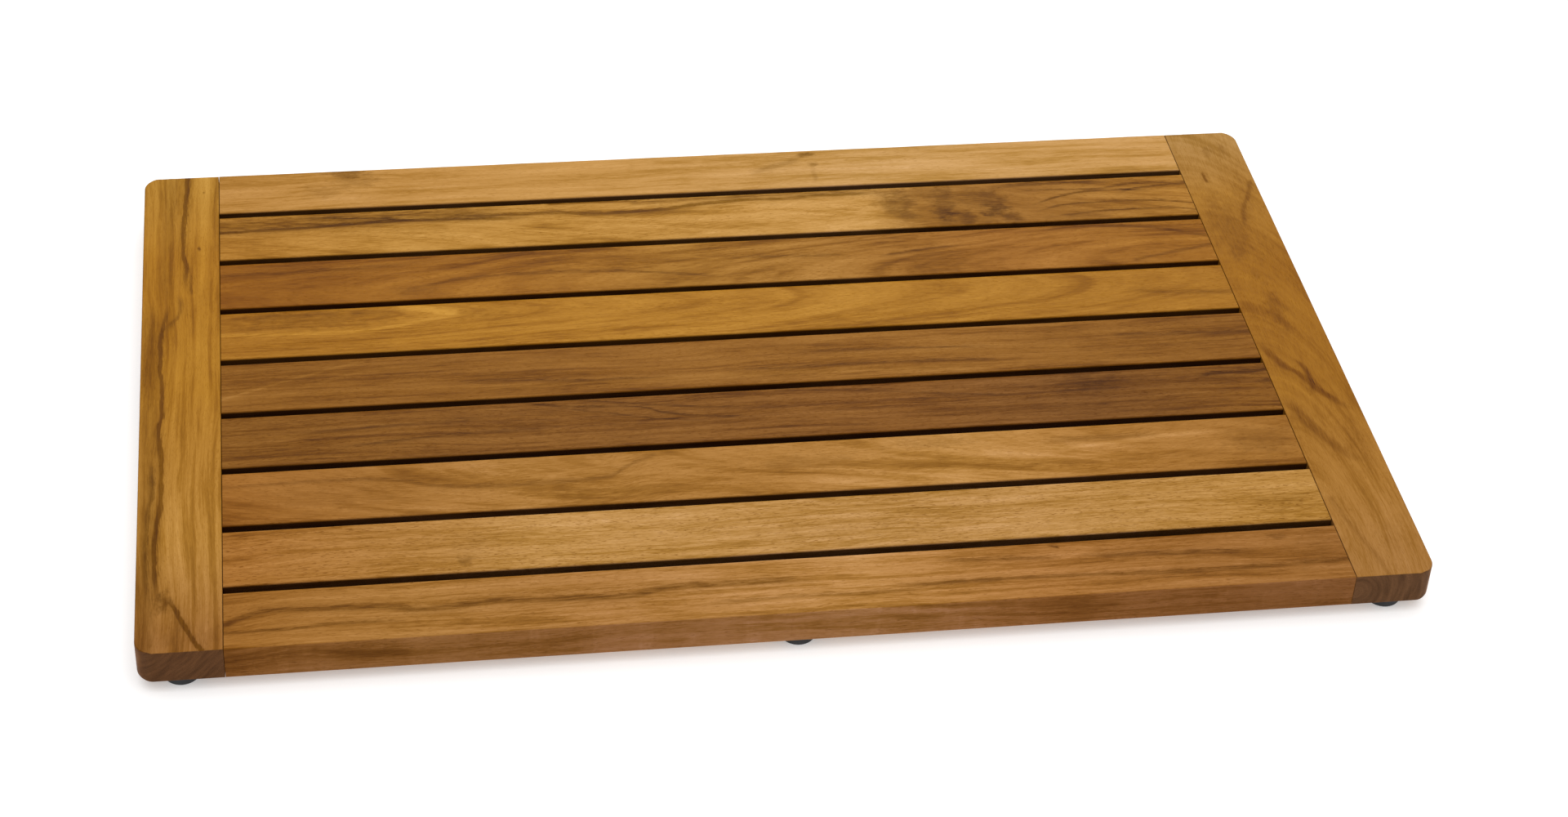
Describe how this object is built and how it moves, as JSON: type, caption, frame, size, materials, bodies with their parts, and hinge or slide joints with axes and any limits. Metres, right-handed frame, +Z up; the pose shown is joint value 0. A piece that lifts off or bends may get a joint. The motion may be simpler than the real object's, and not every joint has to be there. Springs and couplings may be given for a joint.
{
  "type": "bath mat",
  "caption": "Rigid slatted wooden bath mat: boards across two end rails with open drain gaps between them, on low rubber feet.",
  "frame": {"origin": "on the floor under the middle of the mat", "axes": "+X along the slats, +Y from the front rail to the back rail, +Z up"},
  "size_m": [0.8, 0.5, 0.032],
  "materials": {
    "teak_light": "oiled, light straw brown",
    "teak_golden": "oiled, golden brown",
    "teak_reddish": "oiled, reddish brown",
    "teak_brown": "oiled, mid brown",
    "teak_dark": "oiled, dark brown",
    "foot_rubber": "matte moulded",
    "stainless": "bright stainless"
  },
  "bodies": {
    "root": {"back_rail": "teak_light", "batten_screws": "stainless", "centre_batten": "teak_golden", "foot_back_left": "foot_rubber", "foot_back_middle": "foot_rubber", "foot_back_right": "foot_rubber", "foot_front_left": "foot_rubber", "foot_front_middle": "foot_rubber", "foot_front_right": "foot_rubber", "foot_screws": "stainless", "foot_washers": "stainless", "front_rail": "teak_golden", "left_end_rail": "teak_golden", "rail_pins": "teak_brown", "right_end_rail": "teak_golden", "slat_1": "teak_light", "slat_2": "teak_reddish", "slat_3": "teak_light", "slat_4": "teak_brown", "slat_5": "teak_dark", "slat_6": "teak_golden", "slat_7": "teak_light"}
  },
  "joints": []
}
